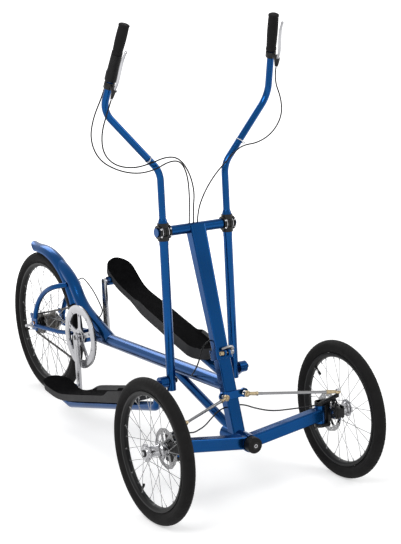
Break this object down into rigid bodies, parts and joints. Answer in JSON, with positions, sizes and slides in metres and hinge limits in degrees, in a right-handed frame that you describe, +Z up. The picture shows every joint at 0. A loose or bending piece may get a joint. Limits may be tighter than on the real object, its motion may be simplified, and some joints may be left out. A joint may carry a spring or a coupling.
{
  "type": "elliptical tricycle",
  "caption": "Stand-up elliptical tricycle: swing levers and foot platforms turn a chain drive, the frame leans on its front axle and steers both front wheels.",
  "frame": {"origin": "on the floor under the middle of the overall box", "axes": "+X forward, +Y to the rider's left, +Z up"},
  "size_m": [2.095, 0.838, 1.6236],
  "materials": {
    "frame_blue": "gloss metallic",
    "tyre": "matte",
    "black_plastic": "matte",
    "black_metal": "satin",
    "cable_black": "satin",
    "silver": "polished",
    "plated_steel": "plated",
    "chain_steel": "oiled"
  },
  "bodies": {
    "axle": {"axle_beam": "frame_blue"},
    "frame": {"lower_mast": "frame_blue", "pivot_cap": "black_plastic", "tie_rod_bracket": "frame_blue", "mast_clamp": "frame_blue", "quick_release": "silver", "mast": "frame_blue", "crossbar": "frame_blue", "main_tube": "frame_blue", "brace_tube": "frame_blue", "spine_tube": "frame_blue", "fender": "frame_blue", "chainstays": "frame_blue", "seat_stays": "frame_blue", "rear_axle": "silver", "chain": "chain_steel", "front_brake_cables": "cable_black", "shift_cable": "cable_black"},
    "wheel_rear": {"tyre_rear": "tyre", "rim_rear": "black_metal", "spokes_rear": "silver", "hub_rear": "silver"},
    "crank": {"crank_arms": "silver", "chainwheel": "silver"},
    "knuckle_right": {"knuckle_right": "black_metal", "caliper_right": "black_metal"},
    "tie_rod_right": {"tie_rod_right": "plated_steel"},
    "wheel_front_right": {"tyre_front_right": "tyre", "rim_front_right": "black_metal", "spokes_front_right": "silver", "hub_front_right": "silver"},
    "lever_right": {"lever_tube_right": "frame_blue", "pivot_block_right": "black_plastic", "handlebar_right": "frame_blue", "grip_right": "black_plastic", "brake_lever_right": "silver", "twist_shifter": "black_plastic", "cables_right": "cable_black"},
    "platform_right": {"carrier_right": "frame_blue", "pad_right": "black_plastic"},
    "knuckle_left": {"knuckle_left": "black_metal", "caliper_left": "black_metal"},
    "tie_rod_left": {"tie_rod_left": "plated_steel"},
    "wheel_front_left": {"tyre_front_left": "tyre", "rim_front_left": "black_metal", "spokes_front_left": "silver", "hub_front_left": "silver"},
    "lever_left": {"lever_tube_left": "frame_blue", "pivot_block_left": "black_plastic", "handlebar_left": "frame_blue", "grip_left": "black_plastic", "brake_lever_left": "silver", "cable_left": "cable_black"},
    "platform_left": {"carrier_left": "frame_blue", "pad_left": "black_plastic"}
  },
  "joints": [
    {"name": "lean", "type": "hinge", "parent": "axle", "child": "frame", "pos_m": [0.8005, 0, 0.197], "axis": [1, 0, 0], "range_deg": [-10, 10], "deforming": ["front_brake_cables"]},
    {"name": "rear_wheel_spin", "type": "hinge", "parent": "frame", "child": "wheel_rear", "pos_m": [-0.7495, 0, 0.298], "axis": [0, 1, 0], "continuous": true},
    {"name": "crank_spin", "type": "hinge", "parent": "frame", "child": "crank", "pos_m": [-0.3495, 0, 0.33], "axis": [0, 1, 0], "continuous": true},
    {"name": "lever_swing", "type": "hinge", "parent": "frame", "child": "lever_right", "pos_m": [0.4775, -0.13, 0.897], "axis": [0, 1, 0], "range_deg": [-22, 22]},
    {"name": "lever_left_swing", "type": "hinge", "parent": "frame", "child": "lever_left", "pos_m": [0.4775, 0.13, 0.897], "axis": [0, 1, 0], "range_deg": [-22, 22]},
    {"name": "steer_right", "type": "hinge", "parent": "axle", "child": "knuckle_right", "pos_m": [0.8005, -0.29, 0.247], "axis": [0, 0, -1], "range_deg": [-23.1, 23.1]},
    {"name": "tie_rod_right_turn", "type": "hinge", "parent": "knuckle_right", "child": "tie_rod_right", "pos_m": [0.8725, -0.314, 0.341], "axis": [0, 0.1351, -0.9908], "range_deg": [-21.5, 21.5]},
    {"name": "front_right_wheel_spin", "type": "hinge", "parent": "knuckle_right", "child": "wheel_front_right", "pos_m": [0.8005, -0.379, 0.247], "axis": [0, 1, 0], "continuous": true},
    {"name": "platform_right_tilt", "type": "hinge", "parent": "lever_right", "child": "platform_right", "pos_m": [0.49961, -0.163, 0.36946], "axis": [0, 1, 0], "range_deg": [-22, 22]},
    {"name": "steer_left", "type": "hinge", "parent": "axle", "child": "knuckle_left", "pos_m": [0.8005, 0.29, 0.247], "axis": [0, 0, -1], "range_deg": [-23.1, 23.1]},
    {"name": "tie_rod_left_turn", "type": "hinge", "parent": "knuckle_left", "child": "tie_rod_left", "pos_m": [0.8725, 0.314, 0.341], "axis": [0, -0.1351, -0.9908], "range_deg": [-21.5, 21.5]},
    {"name": "front_left_wheel_spin", "type": "hinge", "parent": "knuckle_left", "child": "wheel_front_left", "pos_m": [0.8005, 0.379, 0.247], "axis": [0, 1, 0], "continuous": true},
    {"name": "platform_left_tilt", "type": "hinge", "parent": "lever_left", "child": "platform_left", "pos_m": [0.49961, 0.163, 0.36946], "axis": [0, 1, 0], "range_deg": [-22, 22]}
  ],
  "couplings": [
    {"joint": "lever_left_swing", "follows": "lever_swing", "ratio": -1},
    {"joint": "steer_right", "follows": "lean", "ratio": 2.3071},
    {"joint": "tie_rod_right_turn", "follows": "lean", "ratio": -2.1467},
    {"joint": "platform_right_tilt", "follows": "lever_swing", "ratio": -1},
    {"joint": "steer_left", "follows": "lean", "ratio": 2.3071},
    {"joint": "tie_rod_left_turn", "follows": "lean", "ratio": -2.1467},
    {"joint": "platform_left_tilt", "follows": "lever_swing", "ratio": 1}
  ]
}
